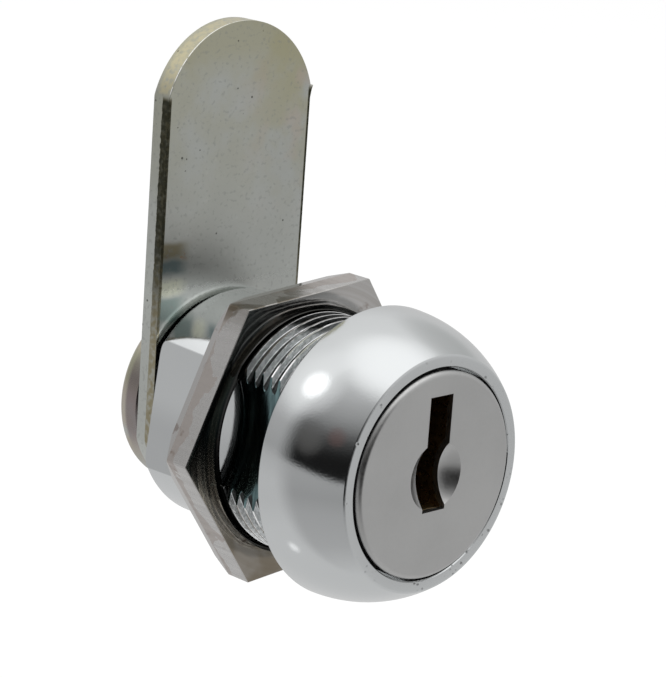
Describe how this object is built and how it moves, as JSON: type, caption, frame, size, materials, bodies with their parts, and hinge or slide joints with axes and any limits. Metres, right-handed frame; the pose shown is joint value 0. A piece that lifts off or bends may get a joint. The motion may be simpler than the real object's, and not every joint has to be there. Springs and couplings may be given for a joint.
{
  "type": "cam lock",
  "caption": "Key-operated cam lock with a domed head, double-D threaded barrel, hexagon fixing nut, wafer plug and straight round-ended cam.",
  "frame": {"origin": "on the lock's axis, in the plane of the head's rear face, which seats on the panel", "axes": "+Y along the lock's axis from the face to the rear; +Z to the tip of the cam at rest; +X to the right, seen from the front"},
  "size_m": [0.0256, 0.0302, 0.0423],
  "materials": {
    "bright_chrome": "bright chrome plate on a zinc die casting, lightly frosted",
    "satin_cap": "satin stainless pressing",
    "plug_brass": "machined brass",
    "wafer_brass": "stamped brass",
    "spring_wire": "drawn spring wire",
    "nut_plate": "plated steel, machine marked and stained",
    "washer_zinc": "zinc plate",
    "cam_zinc": "zinc plate with a faint yellow passivate",
    "yellow_zinc": "zinc plate with a yellow and pink passivate",
    "spring_steel": "dark spring steel",
    "screw_zinc": "zinc plate"
  },
  "bodies": {
    "body": {"lock_body": "bright_chrome"},
    "plug": {"plug": "plug_brass", "face_cap": "satin_cap", "stop_washer": "washer_zinc", "cam": "cam_zinc", "clamp_washer": "yellow_zinc", "spring_washer": "spring_steel", "cam_screw": "screw_zinc", "wafer_spring_1": "spring_wire", "wafer_spring_2": "spring_wire", "wafer_spring_3": "spring_wire", "wafer_spring_4": "spring_wire", "wafer_spring_5": "spring_wire", "wafer_spring_6": "spring_wire", "retainer_spring": "spring_wire"},
    "nut": {"mounting_nut": "nut_plate"},
    "wafer_1": {"wafer_1": "wafer_brass"},
    "wafer_2": {"wafer_2": "wafer_brass"},
    "wafer_3": {"wafer_3": "wafer_brass"},
    "wafer_4": {"wafer_4": "wafer_brass"},
    "wafer_5": {"wafer_5": "wafer_brass"},
    "wafer_6": {"wafer_6": "wafer_brass"},
    "retainer": {"retaining_wafer": "wafer_brass"}
  },
  "joints": [
    {"name": "plug_turn", "type": "hinge", "parent": "body", "child": "plug", "pos_m": [0, 0, 0], "axis": [0, 1, 0], "range_deg": [0, 90]},
    {"name": "nut_travel", "type": "slide", "parent": "body", "child": "nut", "axis": [0, 1, 0], "range_m": [-0.00565, 0.00188]},
    {"name": "wafer_1_drop", "type": "slide", "parent": "plug", "child": "wafer_1", "axis": [0, 0, -1], "range_m": [0, 0.0009], "stiffness_N_per_m": 60, "springref_m": 0.0012, "deforming": ["wafer_spring_1"]},
    {"name": "wafer_2_drop", "type": "slide", "parent": "plug", "child": "wafer_2", "axis": [0, 0, -1], "range_m": [0, 0.0009], "stiffness_N_per_m": 60, "springref_m": 0.0012, "deforming": ["wafer_spring_2"]},
    {"name": "wafer_3_drop", "type": "slide", "parent": "plug", "child": "wafer_3", "axis": [0, 0, -1], "range_m": [0, 0.0009], "stiffness_N_per_m": 60, "springref_m": 0.0012, "deforming": ["wafer_spring_3"]},
    {"name": "wafer_4_drop", "type": "slide", "parent": "plug", "child": "wafer_4", "axis": [0, 0, -1], "range_m": [0, 0.0009], "stiffness_N_per_m": 60, "springref_m": 0.0012, "deforming": ["wafer_spring_4"]},
    {"name": "wafer_5_drop", "type": "slide", "parent": "plug", "child": "wafer_5", "axis": [0, 0, -1], "range_m": [0, 0.0009], "stiffness_N_per_m": 60, "springref_m": 0.0012, "deforming": ["wafer_spring_5"]},
    {"name": "wafer_6_drop", "type": "slide", "parent": "plug", "child": "wafer_6", "axis": [0, 0, -1], "range_m": [0, 0.0009], "stiffness_N_per_m": 60, "springref_m": 0.0012, "deforming": ["wafer_spring_6"]},
    {"name": "retainer_press", "type": "slide", "parent": "plug", "child": "retainer", "axis": [0, 0, -1], "range_m": [0, 0.0007], "stiffness_N_per_m": 60, "springref_m": -0.0005, "deforming": ["retainer_spring"]}
  ]
}
